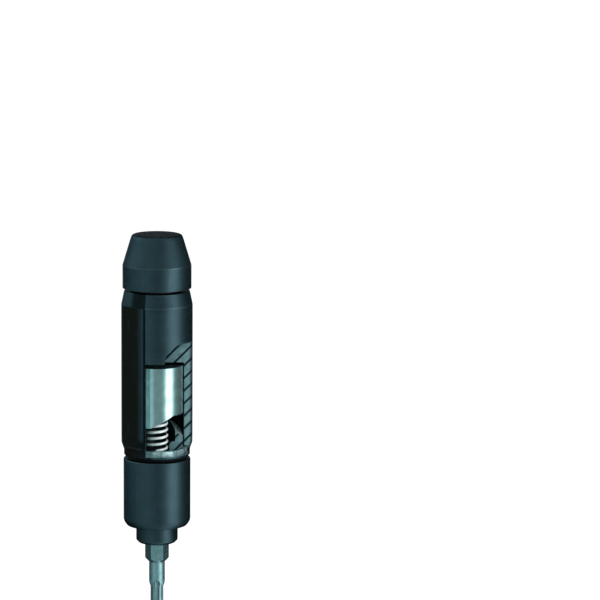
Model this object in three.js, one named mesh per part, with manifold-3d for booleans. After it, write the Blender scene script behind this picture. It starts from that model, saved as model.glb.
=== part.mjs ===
// A hand impact driver, shown as a cutaway: a blow on the cap drives the housing down, and the
// helical teeth inside turn the bit. Millimetres, +Z towards the striking cap, origin on the axis at
// the tip of the bit. An azimuth counts from the front (-Y) towards +X, anticlockwise from above.

import * as THREE from 'three';
import { mergeVertices } from 'three/addons/utils/BufferGeometryUtils.js';
import Module from 'manifold-3d';

// Clearances and cutter lengths that the whole tool shares
const slideGap = 0.3;
const seatGap = 0.3;
const bedGap = 0.2;
const overrun = 2;
const weldDistance = 1e-4;

// Facets round a full turn
const bodyFacets = 48;
const smallFacets = 24;
const ringFacets = 32;
const ringSectionFacets = 6;

// Bit: hexagonal shank, round neck, six-lobed point
const bitAcrossFlats = 8;
const bitLength = 35;
const bitPointLength = 8.4;
const bitPointRadius = 2.5;
const bitFlareLength = 1.6;
const bitNeckRadius = 3.05;
const bitNeckLength = 8.1;
const bitShoulderLength = 1.6;
const bitEndChamfer = 0.7;
const bitFluteCount = 6;
const bitFluteRadius = 1.2;
const bitFluteDepth = 0.68;
const bitFluteEndDrop = 0.3;
const bitFluteFacets = 12;
const bitFluteEndSteps = 4;

// Bit holder: a round socket pinned to the spindle
const bitEngagement = 10.8;
const holderRadius = 8;
const holderChamfer = 1.1;
const socketFloor = 1.5;
const tangAcrossFlats = 7.6;
const tangEngagement = 4.2;
const holderPinRadius = 1.2;
const holderPinInset = 2;
const holderPinAzimuth = 90;

// Bit clip: an open ring in the socket's wall
const clipWidth = 0.8;
const clipHeight = 0.9;
const clipMouthReach = 6;
const ringGapAngle = 40;

// Output sleeve: the outer ring that turns with the spindle
const sleeveWall = 3.45;
const sleeveRimRise = 5.9;
const sleeveFootInset = 1.35;
const sleeveFootHeight = 1.9;
const sleeveEdge = 0.4;
const holderReach = 6.9;
const webThickness = 3;

// Output spindle: cam ring, flange, shank, hexagon and tang in one piece
const shankRadius = 6.9;
const hexAcrossFlats = 12;
const hexEngagement = 1;
const camRingGap = 0.4;
const flangeHeight = 3.7;
const springBoreGap = 0.475;
const springBoreDepth = 1.7;

// End bush: closes the housing and carries the spindle and the sleeve
const bushLipWall = 1.35;
const bushLipHeight = 2.2;
const bushFloorThickness = 1.9;
const bushNeckWall = 1.9;
const bushEdge = 0.25;
const lockScrewAzimuth = 180;
const lockScrewRadius = 0.8;
const lockScrewKeyAcrossFlats = 0.9;
const lockScrewKeyDepth = 0.8;
const lockScrewSink = 0.2;

// Rings between the bush neck and the sleeve, and at the sleeve's foot
const snapRingHeight = 1.2;
const snapRingWidth = 1.1;
const snapRingRise = 2.4;
const sealWireRadius = 0.5;
const sealFitDepth = 0.25;
const sleeveSealDrop = 2.6;
const footSealRise = 3.4;
const footSealWireRadius = 0.4;

// Housing: the grip, bored from below and milled with two parallel flats
const jointGap = 1.3;
const housingLength = 63.5;
const housingWall = 3.4;
const housingRimWall = 0.85;
const housingRimHeight = 2.3;
const housingRimTaper = 2.7;
const housingEdge = 0.35;
const shoulderInset = 1.1;
const shoulderHeight = 5.1;
const flatDepth = 1.6;
const flatAzimuth = -47;
const flatCount = 2;
const flatStart = 4.2;
const flatRunout = 0.6;
const boreDepth = 35.7;
const spigotRadius = 9;
const spigotLength = 10.9;
const spigotChamfer = 0.6;

// Striking cap and the seal under it
const capGap = 1.1;
const capOverhang = 0.6;
const capBandHeight = 8.9;
const capEdge = 0.35;
const capCrownHeight = 11.8;
const capConeInset = 3.15;
const capRoundInset = 1.3;
const capRoundHeight = 1.4;
const capRoundSteps = 4;
const capSealWireRadius = 0.4;

// Cam sleeve: the polished striker with two teeth, held from turning by two keys
const camSleeveRadius = 9.95;
const tipRise = 11.6;
const camSleeveRoofGap = 0.7;
const camSleeveEdge = 0.4;
const camToothDepth = 3.15;
const camCounterboreHeight = 7.3;
const springHollowGap = 0.575;
const springHollowHeight = 15.6;
const keyCount = 2;
const keyAzimuth = 112;
const keyWidth = 3;
const keyLength = 10;
const keyDepthInSleeve = 1.35;
const keyDepthInHousing = 1;
const keyDrop = 5;

// Helical teeth, alike on the cam sleeve (pointing down) and the spindle (pointing up)
const helixLead = 31.4;
const strikeStroke = 3.2;
const toothCount = 2;
const tipAzimuth = -21.5;
const tipLandAngle = 13;
const tipRampRise = 4.7;
const crestGap = 0.3;
const crestLandAngle = 12;
const crestRampRise = 5;
const flankClearanceAngle = 1.5;
const dishSlopeShare = 0.35;
const rampSteps = 7;
const landSteps = 2;
const valleySteps = 4;

// Return spring with its two seats
const springWire = 1.05;
const springOuterRadius = 4.275;
const springTurns = 9.5;
const stepsPerTurn = 8;
const wireSides = 5;
const springWasherThickness = 0.9;
const springSeatThickness = 0.9;
const springSeatSpigotRadius = 2.5;
const springSeatSpigotLength = 2;
const springWasherBore = 2;

// Window: one notch through the housing and the cam ring, hatched where it shows the section
const windowSill = 0.95;
const windowRoofRise = 1.4;
const windowArcRadius = 7.4;
const windowArcCentre = 10.3;
const windowArcSteps = 10;
const hatchAngle = 45;
const hatchSpacing = 4.9;
const hatchWidth = 0.8;
const hatchDepth = 0.25;
const hatchStart = 2.5;

// Heights along the axis, from the tip of the bit up
const bitNeckTop = bitPointLength + bitNeckLength;
const bitHexBottom = bitNeckTop + bitShoulderLength;
const holderBottom = bitLength - bitEngagement;
const socketTop = bitLength + seatGap;
const tangSocketBottom = socketTop + socketFloor;
const holderTop = tangSocketBottom + tangEngagement;
const sleeveBottom = holderBottom + holderReach;
const webBottom = holderTop + strikeStroke + slideGap;
const webTop = webBottom + webThickness;
const bushBottom = webTop + slideGap;
const snapRingBottom = bushBottom + snapRingRise;
const snapRingTop = snapRingBottom + snapRingHeight;
const sleeveTop = snapRingTop + sleeveRimRise;
const sleeveSealHeight = sleeveTop - sleeveSealDrop;
const footSealHeight = sleeveBottom + footSealRise;
const bushFlangeBottom = sleeveTop + seatGap;
const bushRecessFloor = bushFlangeBottom + bushFloorThickness;
const bushTop = bushRecessFloor + bushLipHeight;
const lockScrewHeight = bushTop - bushLipHeight / 2;
const counterboreTop = bushTop + seatGap;
const housingBottom = sleeveTop + jointGap;
const flangeBottom = bushRecessFloor + seatGap;
const pocketFloor = flangeBottom + flangeHeight;
const tipLevel = housingBottom + tipRise;
const crestLevel = tipLevel - crestGap;
const roof = housingBottom + boreDepth;
const lintel = roof + windowRoofRise;
const camSleeveTop = roof - camSleeveRoofGap;
const keyTop = camSleeveTop - keyDrop;
const keyBottom = keyTop - keyLength;
const housingTop = housingBottom + housingLength;
const spigotTop = housingTop + spigotLength;
const capBottom = housingTop + capGap;
const capBandTop = capBottom + capBandHeight;
const capTop = capBandTop + capCrownHeight;
const springBoreBottom = flangeBottom - springBoreDepth;
const washerBottom = springBoreBottom + seatGap;
const washerTop = washerBottom + springWasherThickness;
const springBottom = washerTop + seatGap;
const springHollowTop = tipLevel + springHollowHeight;
const springSeatTop = springHollowTop - seatGap;
const springSeatBottom = springSeatTop - springSeatThickness;
const springTop = springSeatBottom - seatGap;

// Radii, from the cam sleeve outwards and from the spindle's shank outwards
const boreRadius = camSleeveRadius + slideGap;
const keyOuterRadius = boreRadius + keyDepthInHousing;
const bushRadius = boreRadius + bushLipWall;
const counterboreRadius = bushRadius + bedGap;
const housingRimRadius = counterboreRadius + housingRimWall;
const housingRadius = boreRadius + housingWall;
const shoulderRadius = housingRadius - shoulderInset;
const flatDistance = housingRadius - flatDepth;
const capRadius = shoulderRadius + capOverhang;
const capCrownRadius = capRadius - capConeInset;
const capFaceRadius = capCrownRadius - capRoundInset;
const lockScrewTip = boreRadius + seatGap;
const camToothInnerRadius = camSleeveRadius - camToothDepth;
const pocketRadius = camToothInnerRadius + bedGap;
const spindleCamRadius = boreRadius - camRingGap;
const springHollowRadius = springOuterRadius + springHollowGap;
const springBoreRadius = springOuterRadius + springBoreGap;
const bushBoreRadius = shankRadius + slideGap;
const bushNeckRadius = bushBoreRadius + bushNeckWall;
const sleeveBoreRadius = bushNeckRadius + slideGap;
const sleeveRadius = sleeveBoreRadius + sleeveWall;
const sleeveFootRadius = sleeveRadius - sleeveFootInset;
const sleeveFootBoreRadius = holderRadius + slideGap;
const snapRingOuterRadius = bushNeckRadius + slideGap / 2 + snapRingWidth / 2;
const sleeveSealRadius = bushNeckRadius + sealFitDepth - sealWireRadius;
const footSealRadius = sleeveFootBoreRadius - bedGap / 2 + footSealWireRadius;
const hexCornerShare = 1 / Math.cos(Math.PI / 6);
const bitCornerRadius = (bitAcrossFlats / 2) * hexCornerShare;
const clipInnerRadius = bitCornerRadius + bedGap;
const clipOuterRadius = clipInnerRadius + clipWidth;

// The window's left side lies on the near edge of the left-hand flat.
const flatTurn = THREE.MathUtils.degToRad(flatAzimuth);
const flatHalfWidth = Math.sqrt(housingRadius ** 2 - flatDistance ** 2);
const windowLeft = flatDistance * Math.sin(flatTurn) + flatHalfWidth * Math.cos(flatTurn);

const wasm = await Module();
wasm.setup();

// One solid from a closed geometry: shared corners are merged and the flat triangles at an axis dropped.
function solid(geometry) {
  for (const name of Object.keys(geometry.attributes)) {
    if (name !== 'position') geometry.deleteAttribute(name);
  }
  const mesh = mergeVertices(geometry, weldDistance);
  const corners = [];
  for (let i = 0; i < mesh.index.count; i += 3) {
    const [a, b, c] = mesh.index.array.slice(i, i + 3);
    if (a !== b && b !== c && c !== a) corners.push(a, b, c);
  }
  const vertProperties = new Float32Array(mesh.attributes.position.array);
  const triVerts = new Uint32Array(corners);
  return new wasm.Manifold(new wasm.Mesh({ numProp: 3, vertProperties, triVerts }));
}

function joined(...solids) {
  return solids.reduce((whole, next) => whole.add(next));
}

function cut(whole, ...cutters) {
  return cutters.reduce((left, cutter) => left.subtract(cutter), whole);
}

// A turned solid. The profile lists [radius, height] anticlockwise: up the outside, then down the
// inside or the axis.
function turned(profile, facets = bodyFacets) {
  const points = [...profile, profile[0]].map(([radius, height]) => new THREE.Vector2(radius, height));
  return new THREE.LatheGeometry(points, facets).rotateX(Math.PI / 2);
}

function tube(inner, outer, bottom, top, facets = bodyFacets) {
  return turned([[inner, bottom], [outer, bottom], [outer, top], [inner, top]], facets);
}

function rod(radius, bottom, top, facets = bodyFacets) {
  return turned([[0, bottom], [radius, bottom], [radius, top], [0, top]], facets);
}

// A hexagonal or square bar with a flat, not a corner, at the front
function bar(acrossFlats, sides, bottom, top) {
  const cornerRadius = acrossFlats / 2 / Math.cos(Math.PI / sides);
  return rod(cornerRadius, bottom, top, sides).rotateZ(Math.PI / sides);
}

// A plate cut to an outline in X and Z, running from the axis plane towards the front
function frontPlate(outline, depth) {
  const shape = new THREE.Shape(outline.map(([x, z]) => new THREE.Vector2(x, z)));
  return new THREE.ExtrudeGeometry(shape, { depth, bevelEnabled: false }).rotateX(Math.PI / 2);
}

// A block at the front of the axis, then turned to its azimuth
function frontBlock(width, inner, outer, bottom, top, azimuth) {
  return new THREE.BoxGeometry(width, outer - inner, top - bottom)
    .translate(0, -(inner + outer) / 2, (bottom + top) / 2)
    .rotateZ(THREE.MathUtils.degToRad(azimuth));
}

// A round bar that lies along a radius at the front, then turned to its azimuth
function radialRod(radius, inner, outer, height, azimuth, facets = smallFacets) {
  return new THREE.CylinderGeometry(radius, radius, outer - inner, facets)
    .translate(0, -(inner + outer) / 2, height)
    .rotateZ(THREE.MathUtils.degToRad(azimuth));
}

// A flat spring ring with a mouth at the back
function openRing(inner, outer, bottom, top) {
  const mouth = THREE.MathUtils.degToRad(ringGapAngle) / 2;
  const start = Math.PI / 2 + mouth;
  const end = Math.PI * 2 + Math.PI / 2 - mouth;
  const shape = new THREE.Shape();
  shape.absarc(0, 0, outer, start, end, false);
  shape.absarc(0, 0, inner, end, start, true);
  const settings = { depth: top - bottom, bevelEnabled: false, curveSegments: ringFacets / 2 };
  return new THREE.ExtrudeGeometry(shape, settings).translate(0, 0, bottom);
}

function sealRing(centreRadius, wireRadius, height) {
  const ring = new THREE.TorusGeometry(centreRadius, wireRadius, ringSectionFacets, ringFacets);
  return ring.translate(0, 0, height);
}

// A closed ring whose section changes round the axis. sectionAt gives [radius, height] corners
// anticlockwise.
function swept(azimuths, sectionAt) {
  const sections = azimuths.map(sectionAt);
  const corners = sections[0].length;
  const positions = sections.flatMap((section, i) => {
    const angle = THREE.MathUtils.degToRad(azimuths[i]);
    const [x, y] = [Math.sin(angle), -Math.cos(angle)];
    return section.flatMap(([radius, height]) => [radius * x, radius * y, height]);
  });
  const faces = [];
  for (let i = 0; i < sections.length; i += 1) {
    const here = i * corners;
    const next = ((i + 1) % sections.length) * corners;
    for (let j = 0; j < corners; j += 1) {
      const k = (j + 1) % corners;
      faces.push(here + j, next + j, here + k, next + k, here + k, next + j);
    }
  }
  const ring = new THREE.BufferGeometry();
  ring.setAttribute('position', new THREE.Float32BufferAttribute(positions, 3));
  ring.setIndex(faces);
  return ring;
}

// Azimuths of one cam's corners and of the steps between them
function camAzimuths(centre, landAngle, rampAngle) {
  const pitch = 360 / toothCount;
  const valleyAngle = pitch - landAngle - 2 * rampAngle;
  const ramp = [rampAngle, rampSteps];
  const stretches = [[landAngle, landSteps], ramp, [valleyAngle, valleySteps], ramp];
  const azimuths = [];
  let azimuth = centre - landAngle / 2;
  for (let tooth = 0; tooth < toothCount; tooth += 1) {
    for (const [angle, steps] of stretches) {
      for (let step = 0; step < steps; step += 1) azimuths.push(azimuth + (angle * step) / steps);
      azimuth += angle;
    }
  }
  return azimuths;
}

// How far the toothed face has left its tip at an azimuth: along the helix, then level
function toothFall(azimuth, centre, landAngle, rampRise) {
  const pitch = 360 / toothCount;
  const offset = THREE.MathUtils.euclideanModulo(azimuth - centre + pitch / 2, pitch) - pitch / 2;
  const alongRamp = Math.max(0, Math.abs(offset) - landAngle / 2);
  return Math.min(rampRise, (alongRamp * helixLead) / 360);
}

// The helical faces rise towards the axis, so that the teeth centre themselves.
function dish(radius) {
  return dishSlopeShare * (camSleeveRadius - radius);
}

const windowCutter = makeWindowCutter();
const hatchCutters = makeHatchCutters();

// The notch's outline: upright left side, level lintel, then a quarter arc up to a higher lintel on the right
function makeWindowCutter() {
  const bottom = housingBottom + windowSill;
  const right = housingRadius + overrun;
  const outline = [[windowLeft, bottom], [right, bottom], [right, lintel + windowArcRadius]];
  for (let step = 0; step <= windowArcSteps; step += 1) {
    const angle = (Math.PI / 2) * (1 + step / windowArcSteps);
    const x = windowArcCentre + windowArcRadius * Math.cos(angle);
    outline.push([x, lintel + windowArcRadius * Math.sin(angle)]);
  }
  outline.push([windowLeft, lintel]);
  return solid(frontPlate(outline, housingRadius + overrun));
}

// Slanting grooves behind the section plane, as drawn on a section. Their spacing is measured along the axis.
function makeHatchCutters() {
  const slope = THREE.MathUtils.degToRad(hatchAngle);
  const length = (2 * housingRadius) / Math.cos(slope) + 2 * overrun;
  const bottom = housingBottom + windowSill;
  const top = lintel + windowArcRadius;
  const cutters = [];
  for (let z = bottom - housingRadius + hatchStart; z < top; z += hatchSpacing) {
    const groove = new THREE.BoxGeometry(length, 2 * hatchDepth, hatchWidth).rotateY(-slope);
    cutters.push(solid(groove.translate(housingRadius / 2, 0, z + (housingRadius / 2) * Math.tan(slope))));
  }
  const behindWindow = windowCutter.translate([0, hatchDepth, 0]);
  return joined(...cutters).intersect(sectionSide()).intersect(behindWindow);
}

// The grooves stay on the right-hand section and clear of the notch's left side.
function sectionSide() {
  const height = housingTop - housingBottom;
  return solid(new THREE.BoxGeometry(housingRadius + overrun, 4 * hatchDepth, 2 * height)
    .translate((housingRadius + overrun) / 2, 0, housingBottom + height / 2));
}

function makeBit() {
  const shank = solid(bar(bitAcrossFlats, 6, bitHexBottom - bitShoulderLength, bitLength));
  const envelope = solid(turned([
    [0, 0], [bitPointRadius, 0], [bitPointRadius, bitPointLength - bitFlareLength],
    [bitNeckRadius, bitPointLength], [bitNeckRadius, bitNeckTop], [bitCornerRadius, bitHexBottom],
    [bitCornerRadius, bitLength - bitEndChamfer], [bitCornerRadius - bitEndChamfer, bitLength],
    [0, bitLength],
  ], smallFacets));
  const neck = solid(rod(bitCornerRadius + overrun, -overrun, bitNeckTop, 6));
  const body = envelope.intersect(joined(shank, neck));
  const fluteCentre = bitPointRadius - bitFluteDepth + bitFluteRadius;
  const fluteEnd = bitPointLength - bitFluteEndDrop;
  const roundedEnd = Array.from({ length: bitFluteEndSteps }, (_, i) => {
    const angle = (Math.PI / 2) * (i / bitFluteEndSteps);
    return [bitFluteRadius * Math.cos(angle), fluteEnd + bitFluteRadius * Math.sin(angle)];
  });
  const profile = [
    [0, -overrun], [bitFluteRadius, -overrun], ...roundedEnd, [0, fluteEnd + bitFluteRadius],
  ];
  const flutes = Array.from({ length: bitFluteCount }, (_, i) => solid(
    turned(profile, bitFluteFacets)
      .translate(0, -fluteCentre, 0)
      .rotateZ((2 * Math.PI * i) / bitFluteCount),
  ));
  return cut(body, ...flutes);
}

function makeBitHolder() {
  const clipBottom = holderBottom + clipMouthReach;
  const clipTop = clipBottom + clipHeight;
  const body = solid(turned([
    [0, holderBottom], [holderRadius - holderChamfer, holderBottom],
    [holderRadius, holderBottom + holderChamfer], [holderRadius, holderTop], [0, holderTop],
  ]));
  const socket = solid(bar(bitAcrossFlats + 2 * slideGap, 6, holderBottom - overrun, socketTop));
  const clipGroove = solid(rod(clipOuterRadius + slideGap, clipBottom - slideGap, clipTop + slideGap));
  const tangSocket = solid(bar(tangAcrossFlats + 2 * slideGap, 4, tangSocketBottom, holderTop + overrun));
  return cut(body, socket, clipGroove, tangSocket, holderPinHole());
}

function makeBitClip() {
  const bottom = holderBottom + clipMouthReach;
  return openRing(clipInnerRadius, clipOuterRadius, bottom, bottom + clipHeight);
}

function holderPinHole() {
  const reach = holderRadius + overrun;
  const height = holderTop - holderPinInset;
  return solid(radialRod(holderPinRadius + slideGap, -reach, reach, height, holderPinAzimuth));
}

function makeHolderPin() {
  const reach = holderRadius - bedGap;
  return radialRod(holderPinRadius, -reach, reach, holderTop - holderPinInset, holderPinAzimuth);
}

function makeOutputSleeve() {
  const body = solid(turned([
    [sleeveFootBoreRadius, sleeveBottom], [sleeveFootRadius, sleeveBottom],
    [sleeveRadius, sleeveBottom + sleeveFootHeight], [sleeveRadius, sleeveTop - sleeveEdge],
    [sleeveRadius - sleeveEdge, sleeveTop], [sleeveBoreRadius, sleeveTop], [sleeveBoreRadius, webTop],
    [0, webTop], [0, webBottom], [sleeveFootBoreRadius, webBottom],
  ]));
  const hexHole = solid(bar(hexAcrossFlats + 2 * slideGap, 6, webBottom - overrun, webTop + overrun));
  const snapReach = snapRingOuterRadius + slideGap;
  const snapGroove = solid(rod(snapReach, snapRingBottom - slideGap, snapRingTop + slideGap));
  const footReach = footSealWireRadius + bedGap;
  const footGroove = solid(rod(footSealRadius + footReach, footSealHeight - footReach,
    footSealHeight + footReach));
  return cut(body, hexHole, snapGroove, footGroove);
}

// The snap ring lies half in the neck's groove and half in the sleeve's.
function makeSnapRing() {
  return openRing(snapRingOuterRadius - snapRingWidth, snapRingOuterRadius, snapRingBottom, snapRingTop);
}

function makeEndBush() {
  const snapReach = snapRingOuterRadius - snapRingWidth - slideGap;
  const sealReach = sealWireRadius + bedGap;
  const body = solid(turned([
    [bushBoreRadius, bushBottom], [bushNeckRadius, bushBottom], [bushNeckRadius, bushFlangeBottom],
    [bushRadius, bushFlangeBottom], [bushRadius, bushTop - bushEdge], [bushRadius - bushEdge, bushTop],
    [boreRadius, bushTop], [boreRadius, bushRecessFloor], [bushBoreRadius, bushRecessFloor],
  ]));
  const outer = bushNeckRadius + overrun;
  const snapGroove = solid(tube(snapReach, outer, snapRingBottom - slideGap, snapRingTop + slideGap));
  const sealGroove = solid(tube(sleeveSealRadius - sealReach, outer, sleeveSealHeight - sealReach,
    sleeveSealHeight + sealReach));
  return cut(body, snapGroove, sealGroove, lockScrewHole());
}

function lockScrewHole() {
  const outer = housingRimRadius + overrun;
  const inner = lockScrewTip - bedGap;
  return solid(radialRod(lockScrewRadius + bedGap, inner, outer, lockScrewHeight, lockScrewAzimuth));
}

function makeLockScrew() {
  const outer = housingRimRadius - lockScrewSink;
  const body = solid(radialRod(lockScrewRadius, lockScrewTip, outer, lockScrewHeight, lockScrewAzimuth));
  const keyRadius = (lockScrewKeyAcrossFlats / 2) * hexCornerShare;
  const keyFloor = outer - lockScrewKeyDepth;
  const key = solid(radialRod(keyRadius, keyFloor, outer + overrun, lockScrewHeight, lockScrewAzimuth, 6));
  return cut(body, key);
}

function makeOutputSpindle() {
  const hexBottom = holderTop + seatGap;
  const hexTop = webTop + hexEngagement;
  const crestCentre = tipAzimuth - (tipLandAngle + crestLandAngle) / 2 - flankClearanceAngle;
  const shank = solid(turned([
    [0, hexTop], [shankRadius, hexTop], [shankRadius, flangeBottom], [spindleCamRadius, flangeBottom],
    [spindleCamRadius, pocketFloor], [springBoreRadius, pocketFloor], [springBoreRadius, springBoreBottom],
    [0, springBoreBottom],
  ]));
  const hexagon = solid(bar(hexAcrossFlats, 6, hexBottom, hexTop));
  const tang = solid(bar(tangAcrossFlats, 4, tangSocketBottom + seatGap, hexBottom));
  const ringRoot = (flangeBottom + pocketFloor) / 2;
  const rampAngle = (crestRampRise * 360) / helixLead;
  const teeth = solid(swept(camAzimuths(crestCentre, crestLandAngle, rampAngle), (azimuth) => {
    const top = crestLevel - toothFall(azimuth, crestCentre, crestLandAngle, crestRampRise);
    return [
      [pocketRadius, ringRoot], [spindleCamRadius, ringRoot],
      [spindleCamRadius, top + dish(spindleCamRadius)], [pocketRadius, top + dish(pocketRadius)],
    ];
  }));
  const whole = joined(shank, hexagon, tang, teeth);
  return cut(whole, holderPinHole(), windowCutter, hatchCutters);
}

function makeCamSleeve() {
  const rampAngle = (tipRampRise * 360) / helixLead;
  const teethRoot = tipLevel + tipRampRise + dish(camToothInnerRadius);
  const body = solid(turned([
    [camToothInnerRadius, teethRoot], [camSleeveRadius, teethRoot],
    [camSleeveRadius, camSleeveTop - camSleeveEdge], [camSleeveRadius - camSleeveEdge, camSleeveTop],
    [0, camSleeveTop], [0, springHollowTop], [springHollowRadius, springHollowTop],
    [springHollowRadius, tipLevel + camCounterboreHeight],
    [camToothInnerRadius, tipLevel + camCounterboreHeight],
  ]));
  const teeth = solid(swept(camAzimuths(tipAzimuth, tipLandAngle, rampAngle), (azimuth) => {
    const bottom = tipLevel + toothFall(azimuth, tipAzimuth, tipLandAngle, tipRampRise);
    return [
      [camToothInnerRadius, bottom + dish(camToothInnerRadius)], [camSleeveRadius, bottom],
      [camSleeveRadius, teethRoot + weldDistance], [camToothInnerRadius, teethRoot + weldDistance],
    ];
  }));
  const slotFloor = camSleeveRadius - keyDepthInSleeve - slideGap;
  return cut(joined(body, teeth), ...keySlots(slotFloor, keyBottom - slideGap));
}

// Slots for the keys, from an inner radius outwards and from a lower end up to just past the keys
function keySlots(inner, bottom) {
  return Array.from({ length: keyCount }, (_, i) => solid(frontBlock(
    keyWidth + 2 * slideGap, inner, keyOuterRadius + slideGap, bottom, keyTop + slideGap,
    keyAzimuth + (360 * i) / keyCount,
  )));
}

function makeDriveKey(index) {
  const inner = camSleeveRadius - keyDepthInSleeve;
  const azimuth = keyAzimuth + (360 * index) / keyCount;
  return frontBlock(keyWidth, inner, keyOuterRadius, keyBottom, keyTop, azimuth);
}

// A flat's cutter, drawn in side view: level along the grip, leaning in with the shoulder, and
// running out above the rim
function flatCutter(index) {
  const outer = housingRadius + overrun;
  const start = housingBottom + flatStart;
  const shoulderFoot = housingTop - shoulderHeight;
  const topDistance = (flatDistance * shoulderRadius) / housingRadius;
  const lean = (flatDistance - topDistance) / shoulderHeight;
  const profile = [
    [flatDistance, start], [flatDistance + flatRunout, start - flatRunout],
    [outer, start - flatRunout], [outer, housingTop + overrun],
    [topDistance - lean * overrun, housingTop + overrun], [flatDistance, shoulderFoot],
  ];
  const shape = new THREE.Shape(profile.map(([distance, height]) => new THREE.Vector2(distance, height)));
  const block = new THREE.ExtrudeGeometry(shape, { depth: 2 * housingRadius, bevelEnabled: false });
  block.translate(0, 0, -housingRadius).rotateX(Math.PI / 2).rotateZ(-Math.PI / 2);
  return solid(block.rotateZ(THREE.MathUtils.degToRad(flatAzimuth + (360 * index) / flatCount)));
}

function makeHousing() {
  const rimTop = housingBottom + housingRimHeight;
  const shell = solid(turned([
    [0, housingBottom], [housingRimRadius - housingEdge, housingBottom],
    [housingRimRadius, housingBottom + housingEdge], [housingRimRadius, rimTop],
    [housingRadius, rimTop + housingRimTaper], [housingRadius, housingTop - shoulderHeight],
    [shoulderRadius, housingTop], [0, housingTop],
  ]));
  const flats = Array.from({ length: flatCount }, (_, i) => flatCutter(i));
  const spigot = solid(turned([
    [0, roof], [spigotRadius, roof], [spigotRadius, spigotTop - spigotChamfer],
    [spigotRadius - spigotChamfer, spigotTop], [0, spigotTop],
  ]));
  const bores = solid(turned([
    [0, housingBottom - overrun], [counterboreRadius, housingBottom - overrun],
    [counterboreRadius, counterboreTop], [boreRadius, counterboreTop], [boreRadius, roof], [0, roof],
  ]));
  const slots = keySlots(boreRadius / 2, counterboreTop - weldDistance);
  const body = joined(cut(shell, ...flats), spigot);
  return cut(body, bores, ...slots, lockScrewHole(), windowCutter, hatchCutters);
}

function makeStrikingCap() {
  const socketRadius = spigotRadius + slideGap;
  const roundBottom = capTop - capRoundHeight;
  const round = Array.from({ length: capRoundSteps + 1 }, (_, i) => {
    const angle = (Math.PI / 2) * (i / capRoundSteps);
    const radius = capFaceRadius + (capCrownRadius - capFaceRadius) * Math.cos(angle);
    return [radius, roundBottom + capRoundHeight * Math.sin(angle)];
  });
  return turned([
    [socketRadius, capBottom], [capRadius - capEdge, capBottom], [capRadius, capBottom + capEdge],
    [capRadius, capBandTop - capEdge], [capRadius - capEdge, capBandTop], ...round, [0, capTop],
    [0, spigotTop + seatGap], [socketRadius, spigotTop + seatGap],
  ]);
}

function makeCapSeal() {
  return sealRing(spigotRadius + bedGap + capSealWireRadius, capSealWireRadius, (housingTop + capBottom) / 2);
}

function makeSpringSeat() {
  const radius = springHollowRadius - slideGap;
  const spigotBottom = springSeatBottom - springSeatSpigotLength;
  return turned([
    [0, spigotBottom], [springSeatSpigotRadius, spigotBottom], [springSeatSpigotRadius, springSeatBottom],
    [radius, springSeatBottom], [radius, springSeatTop], [0, springSeatTop],
  ], smallFacets);
}

function makeSpringWasher() {
  return tube(springWasherBore, springBoreRadius - slideGap, washerBottom, washerTop, smallFacets);
}

// The wire's centre line: straight up for one wire diameter, round the helix, straight up again
function springRoute() {
  const radius = springOuterRadius - springWire / 2;
  const steps = springTurns * stepsPerTurn;
  const start = springBottom + springWire;
  const rise = springTop - springWire - start;
  const route = [new THREE.Vector3(0, -radius, springBottom)];
  for (let step = 0; step <= steps; step += 1) {
    const angle = (2 * Math.PI * step) / stepsPerTurn;
    const height = start + (rise * step) / steps;
    route.push(new THREE.Vector3(radius * Math.sin(angle), -radius * Math.cos(angle), height));
  }
  const last = route[route.length - 1];
  route.push(new THREE.Vector3(last.x, last.y, springTop));
  return route;
}

// One unbroken tube along the route. Each section stands square to the wire; the end sections lie level.
function makeReturnSpring() {
  const route = springRoute();
  const positions = [];
  route.forEach((point, i) => {
    const before = route[Math.max(0, i - 1)];
    const after = route[Math.min(route.length - 1, i + 1)];
    const along = after.clone().sub(before).normalize();
    const outward = new THREE.Vector3(point.x, point.y, 0).normalize();
    outward.addScaledVector(along, -outward.dot(along)).normalize();
    const across = along.clone().cross(outward);
    for (let side = 0; side < wireSides; side += 1) {
      const angle = (2 * Math.PI * side) / wireSides;
      const corner = point.clone()
        .addScaledVector(outward, (springWire / 2) * Math.cos(angle))
        .addScaledVector(across, (springWire / 2) * Math.sin(angle));
      positions.push(corner.x, corner.y, corner.z);
    }
  });
  const faces = [];
  for (let i = 0; i + 1 < route.length; i += 1) {
    for (let side = 0; side < wireSides; side += 1) {
      const a = i * wireSides + side;
      const b = i * wireSides + ((side + 1) % wireSides);
      faces.push(a, b, a + wireSides, b + wireSides, a + wireSides, b);
    }
  }
  const lastRing = (route.length - 1) * wireSides;
  for (let side = 1; side + 1 < wireSides; side += 1) {
    faces.push(0, side + 1, side, lastRing, lastRing + side, lastRing + side + 1);
  }
  const spring = new THREE.BufferGeometry();
  spring.setAttribute('position', new THREE.Float32BufferAttribute(positions, 3));
  spring.setIndex(faces);
  console.log(`return spring: least gap to itself ${leastGap(route).toFixed(2)} mm`);
  return spring;
}

// Least distance between stretches of the wire that lie over half a turn apart, less the wire itself
function leastGap(route) {
  let least = Infinity;
  for (let i = 0; i < route.length; i += 1) {
    for (let j = i + stepsPerTurn / 2; j < route.length; j += 1) {
      least = Math.min(least, route[i].distanceTo(route[j]));
    }
  }
  return least - springWire;
}

function geometryOf(shape) {
  if (shape.isBufferGeometry) return shape;
  const mesh = shape.getMesh();
  const geometry = new THREE.BufferGeometry();
  geometry.setAttribute('position', new THREE.BufferAttribute(mesh.vertProperties, 3));
  geometry.setIndex(new THREE.BufferAttribute(mesh.triVerts, 1));
  return geometry;
}

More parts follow.
